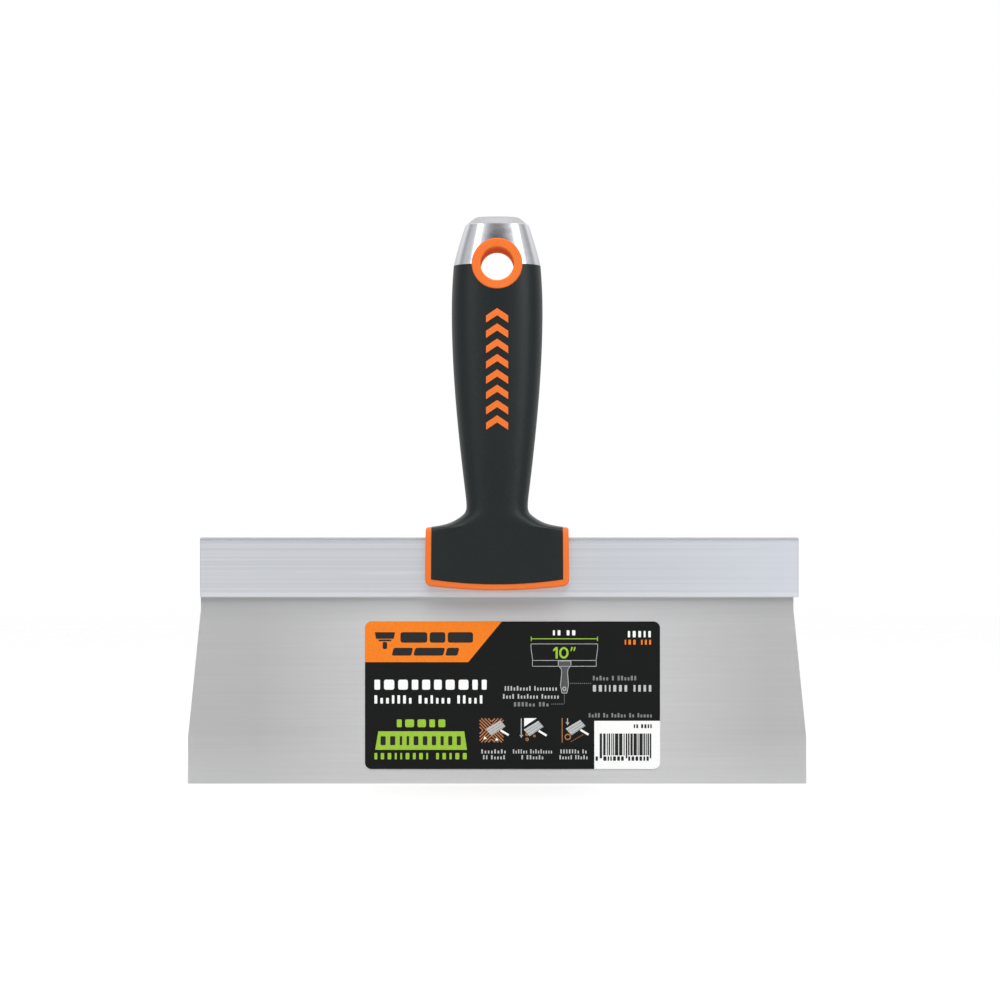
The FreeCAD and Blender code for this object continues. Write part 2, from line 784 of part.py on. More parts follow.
def make_handle(metal, eyelets, cap, hollow):
    """The hard core moulded round the tang, and the soft grip moulded over the core."""
    soft = value("soft_thickness")
    block = make_shoulder_block()
    prism, region = make_pad_region()
    frame = boolean("Cut", "shoulder_frame", block, [region])
    spine_form = moulded_solid("spine_form", grip_rows(column_rows(), -soft))
    spine = boolean("Common", "spine", spine_form,
                    [slab("spine_stretch", "shoulder_top - 2 * pad_depth", "skirt_bottom")])
    inlay_form = moulded_solid("inlay_form", grip_rows(column_rows(), value("inlay_stand")))
    inlays = boolean("Common", "inlays", inlay_form, [make_chevrons()])
    solid = boolean("Fuse", "core_solid", frame, [spine, hollow, inlays])
    core = boolean("Cut", "handle_core", solid, metal + eyelets)

    form = moulded_solid("grip_form", grip_rows(shoulder_rows(), 0))
    shoulder = boolean("Common", "grip_shoulder", form, [prism])
    upper = boolean("Common", "grip_upper", form, [slab("grip_stretch", "neck_height", "grip_top")])
    outside = boolean("Fuse", "grip_outside", shoulder, [upper])
    grip = boolean("Cut", "soft_grip", outside, [core, cap] + metal + eyelets)
    return core, grip


# ---------------------------------------------------------------- label

def make_label():
    """Printed film label stuck on the blade's front."""
    body = new_body("label")
    sketch = new_sketch(body, "label_outline", "XZ_Plane")
    add_outline(sketch, mirrored_outline([
        ("label_width / 2", "-(label_height / 2)"),
        ("label_width / 2", "label_height / 2"),
    ]))
    pad(body, "label_film", sketch, "label_thickness")
    dress(body, "Fillet", "label_corners",
          lambda middle, edge: runs_along(edge, ALONG_Y),
          "label_corner_radius")
    bind(body, "Placement.Base.x", "label_centre_across")
    bind(body, "Placement.Base.y", "-((blade_thickness + label_thickness) / 2)")
    bind(body, "Placement.Base.z", "label_centre_height")
    doc.recompute()
    return body


# ---------------------------------------------------------------- assembly

def write_parts(nodes):
    """Check every object and every sub-part, then write one file for each."""
    doc.recompute()
    faults = [f"{item.Label}: {state}" for item in doc.Objects for state in item.State
              if state in ("Invalid", "Error")]
    for node in nodes:
        if node.Shape.isNull() or not node.Shape.isValid() or not node.Shape.Solids:
            faults.append(f"{node.Label}: bad shape")
    if faults:
        sys.exit("\n".join(faults))
    os.makedirs("parts", exist_ok=True)
    for node in nodes:
        node.Shape.exportStep(f"parts/{node.Label}.step")
        box = node.Shape.BoundBox
        print(f"{node.Label}: {len(node.Shape.Solids)} solid(s), {node.Shape.Volume:.0f} mm3, "
              f"z {box.ZMin:.1f} to {box.ZMax:.1f}")


blade = make_blade()
backbone = make_backbone()
tang = make_tang()
rivets = make_tang_rivets()
eyelet = [make_eyelet_front(), make_eyelet_rear()]
hole_fill = [*eyelet, make_hang_bore()]
hammer_cap, cap_filling = make_hammer_cap(hole_fill)
metal = [blade, backbone, tang, rivets]
handle_core, soft_grip = make_handle(metal, hole_fill, hammer_cap, cap_filling)
label = make_label()
write_parts([*metal, *eyelet, hammer_cap, handle_core, soft_grip, label])
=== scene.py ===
"""Looks for the drywall taping knife: materials, the printed label, studio and camera.  Metres."""
import json
import math
import random

import bmesh
import bpy
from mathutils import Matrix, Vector


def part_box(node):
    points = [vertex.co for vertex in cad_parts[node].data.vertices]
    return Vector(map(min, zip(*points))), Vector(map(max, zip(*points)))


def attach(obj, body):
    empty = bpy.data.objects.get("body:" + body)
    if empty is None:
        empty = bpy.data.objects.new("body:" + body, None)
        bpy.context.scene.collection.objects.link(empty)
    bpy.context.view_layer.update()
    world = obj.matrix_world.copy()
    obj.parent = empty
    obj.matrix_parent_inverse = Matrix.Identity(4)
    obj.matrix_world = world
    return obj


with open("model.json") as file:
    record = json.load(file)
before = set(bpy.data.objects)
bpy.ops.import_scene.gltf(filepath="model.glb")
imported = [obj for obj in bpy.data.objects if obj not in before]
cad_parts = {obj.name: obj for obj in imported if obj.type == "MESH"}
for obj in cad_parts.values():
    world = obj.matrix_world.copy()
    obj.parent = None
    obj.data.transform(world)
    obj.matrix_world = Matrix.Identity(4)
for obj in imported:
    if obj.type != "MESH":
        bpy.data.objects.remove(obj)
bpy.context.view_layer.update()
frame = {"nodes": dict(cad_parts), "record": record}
MM = 0.001


# ---------------------------------------------------------------- node trees

def srgb(red, green, blue):
    """An 8-bit display colour as linear RGBA."""
    def linear(level):
        level /= 255
        return level / 12.92 if level <= 0.04045 else ((level + 0.055) / 1.055) ** 2.4
    return (linear(red), linear(green), linear(blue), 1.0)


class Nodes:
    """A node tree being built, with one method for each kind of node used here."""

    def __init__(self, tree, output_kind):
        self.tree = tree
        tree.nodes.clear()
        self.surface = tree.nodes.new(output_kind).inputs["Surface"]

    def feed(self, socket, setting):
        """Give a socket a value or a link."""
        if isinstance(setting, bpy.types.NodeSocket):
            self.tree.links.new(setting, socket)
        else:
            socket.default_value = setting

    def add(self, kind, inputs, output=0, **properties):
        """Add a node, feed its inputs and return one of its outputs."""
        node = self.tree.nodes.new(kind)
        for name, setting in properties.items():
            setattr(node, name, setting)
        for socket, setting in inputs.items():
            self.feed(node.inputs[socket], setting)
        return node.outputs[output]

    def level(self, value, low, high, out_low, out_high, interpolation="LINEAR"):
        """Spread value from low..high to out_low..out_high, held at both ends."""
        return self.add("ShaderNodeMapRange", {
            "Value": value, "From Min": low, "From Max": high,
            "To Min": out_low, "To Max": out_high}, clamp=True, interpolation_type=interpolation)

    def maths(self, operation, first, second):
        """One sum with two values."""
        return self.add("ShaderNodeMath", {0: first, 1: second}, operation=operation)

    def split(self, vector, axis):
        """One coordinate of a vector."""
        return self.add("ShaderNodeSeparateXYZ", {"Vector": vector}, output="XYZ".index(axis))


class Shader(Nodes):
    """A material with one Principled surface, textured by its object's own coordinates."""

    INPUTS = {"metallic": "Metallic", "roughness": "Roughness", "specular": "Specular IOR Level"}

    def __init__(self, name, **settings):
        self.material = bpy.data.materials.new(name)
        self.material.use_nodes = True
        super().__init__(self.material.node_tree, "ShaderNodeOutputMaterial")
        self.principled = self.tree.nodes.new("ShaderNodeBsdfPrincipled")
        self.feed(self.surface, self.principled.outputs[0])
        self.place = self.add("ShaderNodeTexCoord", {}, output="Object")
        for socket, setting in settings.items():
            self.set(self.INPUTS[socket], setting)

    def set(self, socket, setting):
        """Give one of the surface's inputs a value or a link."""
        self.feed(self.principled.inputs[socket], setting)

    def part(self, axis):
        """One coordinate of the object, in metres."""
        return self.split(self.place, axis)

    def noise(self, scale, detail=3.0, rough=0.55, stretch=(1, 1, 1)):
        """Noise at scale x stretch cycles to the metre along each axis."""
        place = self.add("ShaderNodeMapping", {"Vector": self.place, "Scale": stretch})
        return self.add("ShaderNodeTexNoise", {
            "Vector": place, "Scale": scale, "Detail": detail, "Roughness": rough})

    def mix(self, share, first, second):
        """Blend two colours."""
        return self.add("ShaderNodeMix", {0: share, 6: first, 7: second}, output=2, data_type="RGBA")

    def coats(self, tone, *coats):
        """Lay colours over a tone one after another, each by its own share."""
        for share, colour in coats:
            tone = self.mix(share, tone, colour)
        return tone

    def bump(self, height, depth, strength=1.0, under=None):
        """Relief of a height map; depth is in metres."""
        inputs = {"Height": height, "Distance": depth, "Strength": strength}
        if under is not None:
            inputs["Normal"] = under
        return self.add("ShaderNodeBump", inputs)

    def brush(self, strength):
        """Spread the gloss up and down, across a grain that runs along the blade."""
        nearly_upright = {"X": 0.05, "Y": 0.0, "Z": 1.0}
        self.set("Anisotropic", strength)
        self.set("Tangent", self.add("ShaderNodeCombineXYZ", nearly_upright))


# ---------------------------------------------------------------- materials

def blade_steel():
    """Satin stainless sheet: fine grain, faint clouding, a painted sheen that fades towards both ends,
    painted shadow under the backbone and a painted floor reflection brightening the bottom.
    """
    shader = Shader("blade_satin_steel", metallic=1.0)
    grain = shader.noise(900, detail=4, stretch=(0.02, 1, 1))
    clouds = shader.noise(9, detail=2, stretch=(0.6, 1, 1))
    scratches = shader.noise(60, detail=6, rough=0.7, stretch=(0.05, 1, 1))
    # painted sheen: brightest a little right of the middle, duller towards both ends
    painted_sheen_centre = 6 * MM
    aside = shader.maths("SUBTRACT", shader.part("X"), painted_sheen_centre)
    from_painted_sheen = shader.maths("ABSOLUTE", aside, 0.0)
    painted_sheen_falloff = shader.level(from_painted_sheen, 50 * MM, 105 * MM, 0, 1)
    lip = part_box("backbone")[0].z
    # painted shadow under the backbone's lip: darker within 11 mm below it
    painted_lip_shadow = shader.level(shader.part("Z"), lip - 11 * MM, lip - 1 * MM, 0, 0.5)
    # painted reflection of the floor: lighter towards the bottom edge
    painted_floor_reflection = shader.level(shader.part("Z"), 2 * MM, 22 * MM, 0.5, 0)
    shader.set("Base Color", shader.coats(
        srgb(243, 243, 244),
        (painted_sheen_falloff, srgb(216, 216, 217)),
        (painted_lip_shadow, srgb(196, 197, 198)),
        (painted_floor_reflection, srgb(246, 246, 247)),
        (shader.level(clouds, 0.3, 0.7, 0, 0.25), srgb(208, 209, 210)),
        (shader.level(grain, 0.3, 0.7, 0, 0.09), srgb(190, 191, 192)),
        (shader.level(scratches, 0.64, 0.78, 0, 0.16), srgb(244, 244, 245))))
    shader.set("Roughness", shader.level(grain, 0.25, 0.75, 0.50, 0.56))
    shader.set("Normal", shader.bump(grain, 0.008 * MM, 0.2))
    shader.brush(0.9)
    return shader.material


def backbone_aluminium():
    """Satin extrusion: die lines run its whole length, with bright rubs, a painted highlight along the
    lower bead and painted shade on the nose.
    """
    shader = Shader("backbone_extruded_aluminium", metallic=1.0)
    lines = shader.noise(1500, detail=3, rough=0.6, stretch=(0.0012, 0.25, 1))
    broad = shader.noise(260, detail=2, stretch=(0.004, 0.3, 1))
    rubs = shader.noise(70, detail=3, stretch=(0.10, 1, 3.0))
    bottom, top = (corner.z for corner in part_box("backbone"))
    bluer = shader.level(shader.part("X"), 30 * MM, 120 * MM, 0, 0.6)
    # painted highlight: the lowest 2 mm of the backbone lighter along the bead
    painted_bead_highlight = shader.level(shader.part("Z"), bottom + 1.9 * MM, bottom + 2.3 * MM, 0.7, 0)
    # painted shade: the top 1.4 mm darker, and also rougher
    nose_wear_and_painted_shade = shader.level(shader.part("Z"), top - 1.4 * MM, top - 0.9 * MM, 0, 1)
    shader.set("Base Color", shader.coats(
        srgb(221, 224, 230),
        (shader.level(lines, 0.35, 0.65, 0, 1), srgb(234, 236, 241)),
        (shader.level(broad, 0.35, 0.65, 0, 0.3), srgb(214, 217, 224)),
        (shader.level(rubs, 0.66, 0.74, 0, 0.4), srgb(248, 249, 251)),
        (bluer, srgb(236, 242, 252)),
        (painted_bead_highlight, srgb(247, 249, 253)),
        (nose_wear_and_painted_shade, srgb(182, 183, 187))))
    worn = shader.maths("MULTIPLY", nose_wear_and_painted_shade, 0.2)
    shader.set("Roughness", shader.maths("ADD", shader.level(lines, 0.3, 0.7, 0.40, 0.48), worn))
    shader.set("Normal", shader.bump(lines, 0.006 * MM, 0.5))
    shader.brush(0.7)
    return shader.material


def cap_metal():
    """Bright satin plate, turned fine across the cap; the top 3 mm round the striking face is rougher and
    painted darker as shade.
    """
    shader = Shader("cap_bright_plate", metallic=1.0)
    grain = shader.noise(500, detail=3, stretch=(0.2, 0.2, 1))
    dings = shader.noise(140, detail=3, rough=0.6)
    bevel_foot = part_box("hammer_cap")[1].z - 3 * MM
    # painted shade: the top bevel darker than the rest of the plate, also rougher
    bevel_rub_and_painted_shade = shader.level(shader.part("Z"), bevel_foot - 0.2 * MM, bevel_foot + 0.2 * MM, 0, 1)
    shader.set("Base Color", shader.coats(
        srgb(212, 213, 219),
        (grain, srgb(224, 225, 230)),
        (bevel_rub_and_painted_shade, srgb(200, 200, 202))))
    worn = shader.maths("MULTIPLY", bevel_rub_and_painted_shade, 0.25)
    shader.set("Roughness", shader.maths("ADD", shader.level(grain, 0.3, 0.7, 0.17, 0.22), worn))
    shader.set("Normal", shader.bump(dings, 0.1 * MM, 0.04, shader.bump(grain, 0.008 * MM, 0.3)))
    return shader.material


def soft_rubber():
    """Black elastomer with a fine spark-eroded texture and a slight patchy bloom."""
    shader = Shader("grip_black_elastomer", specular=0.38)
    pores = shader.noise(2600, detail=2, rough=0.5)
    skin = shader.noise(900, detail=3, rough=0.6)
    bloom = shader.noise(34, detail=4, rough=0.6)
    shader.set("Base Color", shader.coats(
        srgb(3, 17, 17),
        (shader.level(bloom, 0.35, 0.7, 0, 1), srgb(6, 22, 22)),
        (shader.level(pores, 0.35, 0.65, 0, 0.35), srgb(2, 10, 10))))
    shader.set("Roughness", shader.level(bloom, 0.3, 0.7, 0.36, 0.42))
    shader.set("Normal", shader.bump(skin, 0.12 * MM, 0.2, shader.bump(pores, 0.12 * MM, 0.4)))
    return shader.material


def orange_plastic():
    """Satin moulded polypropylene with a slight mottling; matt inside the hang hole, and painted lighter
    there as light on the bore's wall.
    """
    shader = Shader("core_orange_plastic")
    pigment = shader.noise(60, detail=3)
    skin = shader.noise(1500, detail=2)
    hole = frame["record"]["mounts"][0]
    up = shader.maths("SUBTRACT", shader.part("Z"), hole["pos_m"][2])
    offset = shader.add("ShaderNodeCombineXYZ", {"X": shader.part("X"), "Z": up})
    from_axis = shader.add("ShaderNodeVectorMath", {0: offset}, output="Value", operation="LENGTH")
    rim = hole["dims"]["r_mm"] * MM
    wall, flange = rim + 0.1 * MM, rim + 0.5 * MM
    # the last coat is painted light: the wall inside the hang hole lighter and yellower
    shader.set("Base Color", shader.coats(
        srgb(235, 114, 46),
        (pigment, srgb(242, 122, 52)),
        (shader.level(from_axis, wall, flange, 1, 0), srgb(246, 135, 50))))
    shader.set("Specular IOR Level", shader.level(from_axis, wall, flange, 0.0042, 0.14))
    shader.set("Roughness", shader.level(skin, 0.3, 0.7, 0.48, 0.58))
    shader.set("Normal", shader.bump(skin, 0.06 * MM, 0.22))
    return shader.material


def label_film():
    """Black printed film with a thin clear coat and a trace of orange peel."""
    shader = Shader("label_black_film", specular=0.12)
    peel = shader.noise(350, detail=2)
    speck = shader.noise(2500, detail=2)
    shader.set("Base Color", shader.coats(
        srgb(19, 21, 20),
        (shader.level(speck, 0.4, 0.7, 0, 1), srgb(25, 27, 26))))
    shader.set("Roughness", shader.level(peel, 0.3, 0.7, 0.40, 0.5))
    shader.set("Normal", shader.bump(peel, 0.03 * MM, 0.3))
    return shader.material


def ink(name, colour, shade):
    """Printed ink on the label: two close tones of one colour in a fine screen."""
    shader = Shader(f"ink_{name}", specular=0.2)
    screen = shader.noise(1800, detail=1)
    shader.set("Base Color", shader.mix(shader.level(screen, 0.35, 0.65, 0, 1), colour, shade))
    shader.set("Roughness", shader.level(screen, 0.3, 0.7, 0.42, 0.52))
    return shader.material


def dull_steel(name, bright, rough):
    """Plain rolled or plated steel of the hidden pieces."""
    shader = Shader(name, metallic=1.0)
    scale = shader.noise(200, detail=4, stretch=(1, 1, 0.1))
    dark = tuple(level * 0.8 for level in bright[:3]) + (1.0,)
    shader.set("Base Color", shader.mix(scale, dark, bright))
    shader.set("Roughness", shader.level(scale, 0.3, 0.7, rough - 0.06, rough + 0.06))
    shader.set("Normal", shader.bump(scale, 0.03 * MM, 0.3))
    return shader.material


def dress_frame():
    """Give each CAD node one material in place of the plain ones it came with."""
    orange = orange_plastic()
    finishes = {
        "blade": blade_steel(),
        "backbone": backbone_aluminium(),
        "hammer_cap": cap_metal(),
        "soft_grip": soft_rubber(),
        "handle_core": orange,
        "hang_hole_eyelet_front": orange,
        "hang_hole_eyelet_rear": orange,
        "label": label_film(),
        "tang": dull_steel("tang_rolled_steel", srgb(150, 152, 155), 0.45),
        "tang_rivets": dull_steel("rivet_plated_steel", srgb(185, 187, 190), 0.35),
    }
    for name, material in finishes.items():
        materials = frame["nodes"][name].data.materials
        materials.clear()
        materials.append(material)


# ---------------------------------------------------------------- printed label
# Places on the label are in millimetres from its lower left corner, seen from the front.

LABEL_LOW, LABEL_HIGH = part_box("label")
LABEL_WIDE = (LABEL_HIGH.x - LABEL_LOW.x) / MM
LABEL_TALL = (LABEL_HIGH.z - LABEL_LOW.z) / MM
LABEL_CORNER = 2.7
INK_THICKNESS = 0.02 * MM

# greeked print: the gap between blocks and the further space between words, as shares of the pitch
BOLD_GAP = 0.33
MEDIUM_GAP = 0.42
LIGHT_GAP = 0.54
WORD_SPACE = 0.7
SHORT_BLOCK = 0.68
TALL_BLOCK_CHANCE = 0.25

# widths of lines
STRIPE_LINE = 0.14
FINE_LINE = 0.2
HANDLE_LINE = 0.24
LEADER_LINE = 0.3
DIMENSION_LINE = 0.34
POINTER_LINE = 0.35
COMB_LINE = 0.48
SMALL_HANDLE_LINE = 0.85

DASH_SHARE = 0.55
CODE_SEED = 5


def arc_points(centre, radius, start, end, count):
    """Points on an arc round a centre, both ends included."""
    return [(centre[0] + radius * math.cos(start + (end - start) * step / count),
             centre[1] + radius * math.sin(start + (end - start) * step / count))
            for step in range(count + 1)]


def oval_points(centre, half_wide, half_tall, count):
    """Points once round an oval."""
    turns = [2 * math.pi * step / count for step in range(count)]
    return [(centre[0] + half_wide * math.cos(turn), centre[1] + half_tall * math.sin(turn))
            for turn in turns]


def slab_points(left, low, right, high, radius=0.0, lean=0.0):
    """A rectangle with rounded corners that may lean like an italic."""
    radius = min(radius, (right - left) / 2, (high - low) / 2)
    if radius <= 0:
        corners = [(left, low), (right, low), (right, high), (left, high)]
    else:
        corners = []
        for x, y, turn in ((right - radius, low + radius, 1.5), (right - radius, high - radius, 0),
                           (left + radius, high - radius, 0.5), (left + radius, low + radius, 1)):
            corners += arc_points((x, y), radius, turn * math.pi, (turn + 0.5) * math.pi, 4)
    return [(x + (y - low) * lean, y) for x, y in corners]


class Print:
    """One colour of ink on the label: a mesh of thin flat prisms.

    Layer 1 lies on the film.  A higher one lies on the layer below it, or reaches down to the
    layer that under names, where 0 is the film.
    """

    def __init__(self, layer=1, under=None):
        self.mesh = bmesh.new()
        self.chance = random.Random(layer)
        self.back = LABEL_LOW.y - INK_THICKNESS * (layer - 1 if under is None else under)
        self.front = LABEL_LOW.y - INK_THICKNESS * layer

    def corner(self, point, depth):
        """A vertex at a place on the label, at a depth in metres."""
        return self.mesh.verts.new((LABEL_LOW.x + point[0] * MM, depth, LABEL_LOW.z + point[1] * MM))

    def shape(self, points):
        """A filled outline, given anticlockwise."""
        fronts = [self.corner(point, self.front) for point in points]
        backs = [self.corner(point, self.back) for point in points]
        self.mesh.faces.new(fronts)
        self.mesh.faces.new(backs[::-1])
        for index in range(len(points)):
            following = (index + 1) % len(points)
            self.mesh.faces.new((fronts[following], fronts[index], backs[index], backs[following]))

    def ring(self, outer, inner):
        """The band between two outlines with the same number of points."""
        rows = [[self.corner(point, depth) for point in path]
                for path, depth in ((outer, self.front), (inner, self.front),
                                    (inner, self.back), (outer, self.back))]
        count = len(outer)
        for side in range(4):
            first, second = rows[side], rows[(side + 1) % 4]
            for index in range(count):
                following = (index + 1) % count
                self.mesh.faces.new((first[index], first[following], second[following], second[index]))

    def washer(self, centre, outer, inner, count=14):
        """A round ring between two radii."""
        self.ring(oval_points(centre, outer, outer, count), oval_points(centre, inner, inner, count))

    def stroke(self, start, end, width):
        """A straight line of a given width."""
        start, end = Vector(start), Vector(end)
        along = (end - start).normalized() * (width / 2)
        across = Vector((-along.y, along.x))
        self.shape([tuple(start - across), tuple(end - across), tuple(end + across), tuple(start + across)])

    def path(self, points, width):
        """A line through several points."""
        for first, second in zip(points, points[1:]):
            self.stroke(first, second, width)

    def dashes(self, start, end, width, pitch):
        """A dotted leader."""
        start, end = Vector(start), Vector(end)
        span = end - start
        count = max(1, round(span.length / pitch))
        for step in range(count):
            first = start + span * (step / count)
            self.stroke(first, first + span * (DASH_SHARE / count), width)

    def bars(self, left, low, height, widths, gap, lean=0.0):
        """A line of heavy greeked print: a bar for each word."""
        for width in widths:
            self.shape(slab_points(left, low, left + width, low + height, height * 0.22, lean))
            left += width + gap

    def words(self, left, right, low, height, counts, gap=MEDIUM_GAP, small=False):
        """A line of greeked print between two ends: a block for each letter of each word.

        Blocks differ in width.  In small print they are more even, and most reach only part
        of the way up.
        """
        spread = 0.1 if small else 0.4
        words = [[(1 - gap) * self.chance.uniform(1 - spread, 1 + spread) for _ in range(count)]
                 for count in counts]
        gaps = gap * (sum(counts) - 1) + WORD_SPACE * (len(counts) - 1)
        pitch = (right - left) / (sum(map(sum, words)) + gaps)
        for word in words:
            for letter, share in enumerate(word):
                tall = not small or letter == 0 or self.chance.random() < TALL_BLOCK_CHANCE
                top = low + height * (1.0 if tall else SHORT_BLOCK)
                width = pitch * share
                self.shape(slab_points(left, low, left + width, top, min(width, height) * 0.2))
                left += width + pitch * gap
            left += pitch * WORD_SPACE

    def finish(self, name, material):
        """Turn the prisms into a piece that rides on the knife."""
        mesh = bpy.data.meshes.new(name)
        bmesh.ops.recalc_face_normals(self.mesh, faces=self.mesh.faces)
        self.mesh.to_mesh(mesh)
        self.mesh.free()
        mesh.materials.append(material)
        piece = bpy.data.objects.new(name, mesh)
        bpy.context.scene.collection.objects.link(piece)
        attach(piece, "root")


def print_orange():
    """The corner banner and the small orange line."""
    layer = Print()
    banner_low = 43.9
    banner = [(0.0, banner_low), (42.4, banner_low), (56.2, LABEL_TALL), (LABEL_CORNER, LABEL_TALL)]
    centre = (LABEL_CORNER, LABEL_TALL - LABEL_CORNER)
    banner += arc_points(centre, LABEL_CORNER, math.pi / 2, math.pi, 6)[1:]
    layer.shape(banner)
    layer.words(106.7, 117.5, 51.1, 2.0, (3, 3), LIGHT_GAP)
    return layer


def print_banner_marks():
    """Dark marks on the banner: a wide knife and two lines of greeked print."""
    layer = Print(layer=2)
    blade = [(4.0, 56.2), (4.6, 53.5), (11.8, 53.5), (12.4, 56.2)]
    ferrule = slab_points(5.6, 52.5, 10.8, 53.2, 0.2)
    handle = slab_points(7.3, 49.3, 9.1, 52.2, 0.6)
    for outline in (blade, ferrule, handle):
        layer.shape(outline)
    layer.bars(14.6, 51.9, 4.3, (11.0, 6.4, 10.4), 1.0)
    layer.bars(11.0, 46.6, 3.2, (8.0, 12.2, 5.0), 0.9, lean=0.25)
    return layer


def print_green():
    """Green print: the size, its dimension line, and a panel between two lines of print."""
    layer = Print()
    panel = [(4.2, 7.9), (41.9, 7.9), (40.8, 15.5), (5.5, 15.5)]
    layer.words(13.1, 33.0, 17.2, 3.2, (5,), BOLD_GAP)
    layer.shape(panel)
    layer.words(3.9, 41.8, 4.0, 2.6, (9, 5), LIGHT_GAP)
    left, right, up = 68.3, 95.5, 53.5
    half_tick = 0.9
    layer.stroke((left, up), (right, up), DIMENSION_LINE)
    for across in (left, right):
        layer.stroke((across, up - half_tick), (across, up + half_tick), POINTER_LINE)
    numerals(layer, 77.3, 45.4, 4.7)
    return layer


def numerals(layer, left, low, height):
    """The generic size mark: a one, a nought and two inch ticks."""
    high = low + height
    stem_left = left + 1.0
    stem_right = stem_left + height * 0.19
    layer.shape([(stem_left, low), (stem_right, low), (stem_right, high), (stem_left, high),
                 (left, low + height * 0.8), (left, low + height * 0.6), (stem_left, low + height * 0.76)])
    centre = (left + 4.4, low + height / 2)
    layer.ring(oval_points(centre, 1.95, height / 2, 28), oval_points(centre, 1.08, height * 0.33, 28))
    tick_low = low + height * 0.66
    for foot in (left + 7.1, left + 8.3):
        layer.shape([(foot, tick_low), (foot + 0.5, tick_low), (foot + 1.0, high), (foot + 0.3, high)])


def print_panel_words():
    """Dark greeked word on the green panel."""
    layer = Print(layer=2)
    layer.words(6.4, 39.4, 9.8, 3.7, (10,), LIGHT_GAP)
    return layer


def print_white():
    """White print: the title and the line under it, measure, callout and the code panel."""
    layer = Print()
    layer.words(3.9, 50.0, 32.6, 4.1, (10,), BOLD_GAP)
    layer.words(3.9, 48.2, 26.9, 3.4, (7, 6, 5), LIGHT_GAP, small=True)
    layer.words(77.2, 86.4, 54.9, 2.1, (2, 2), LIGHT_GAP)
    layer.words(108.0, 117.4, 54.1, 2.6, (5,), LIGHT_GAP)
    panel_left, panel_high = 94.2, 19.8
    rounding = LABEL_WIDE - LABEL_CORNER
    code_panel = [(panel_left, 0.0), (rounding, 0.0)]
    code_panel += arc_points((rounding, LABEL_CORNER), LABEL_CORNER, -math.pi / 2, 0, 6)[1:]
    code_panel += [(LABEL_WIDE, panel_high), (panel_left, panel_high)]
    layer.shape(code_panel)
    return layer


HANDLE_MARK = [(79.4, 44.4), (79.4, 42.6), (80.7, 41.0), (80.8, 39.6), (80.3, 34.4), (80.9, 31.2),
               (82.9, 31.2), (83.6, 34.4), (83.2, 39.6), (83.4, 41.0), (84.6, 42.6), (84.6, 44.4)]


def print_grey():
    """Pale grey print: the outline of a wide knife, its hang hole and the small lines."""
    layer = Print(layer=2, under=0)
    blade = [(68.9, 44.6), (68.2, 49.6), (68.2, 51.4), (95.6, 51.4), (95.6, 49.6), (94.9, 44.6)]
    backbone = [(68.8, 44.6), (95.0, 44.6), (95.0, 42.2), (68.8, 42.2)]
    hang_hole = (81.9, 33.0)
    layer.path(blade, FINE_LINE)
    layer.path(backbone + backbone[:1], FINE_LINE)
    layer.path(HANDLE_MARK + HANDLE_MARK[:1], HANDLE_LINE)
    layer.washer(hang_hole, 0.85, 0.5)
    layer.words(93.6, 117.6, 31.8, 2.7, (7, 4), LIGHT_GAP)
    small_lines = (
        (57.4, 78.8, 32.2, 1.9, (9, 8)), (56.7, 79.6, 28.9, 1.9, (4, 7, 6)),
        (47.8, 57.8, 6.4, 1.7, (8,)), (48.5, 57.4, 4.0, 1.7, (2, 5)),
        (60.8, 76.8, 6.4, 1.7, (6, 9)), (64.3, 73.2, 4.0, 1.7, (1, 6)),
        (80.3, 91.0, 6.4, 1.7, (7, 2)), (79.9, 91.4, 4.0, 1.7, (5, 5)))
    for line in small_lines:
        layer.words(*line, LIGHT_GAP, small=True)
    return layer


def print_dim():
    """Dim grey print: the faintest lines and the outlined knife's dotted leaders."""
    layer = Print()
    layer.words(93.6, 111.4, 36.4, 1.9, (5, 1, 6), small=True)
    layer.words(61.2, 75.4, 25.7, 1.8, (6, 3), small=True)
    layer.words(91.9, 117.8, 21.2, 1.8, (4, 2, 5, 2, 5), small=True)
    leaders = (((84.3, 35.2), (93.2, 35.2)), ((81.9, 30.6), (81.9, 26.7)), ((81.5, 26.7), (76.2, 26.7)))
    for start, end in leaders:
        layer.dashes(start, end, LEADER_LINE, 0.8)
    return layer


def print_handle_mark():
    """The filled handle of the outlined knife."""
    layer = Print()
    layer.shape(HANDLE_MARK)
    return layer


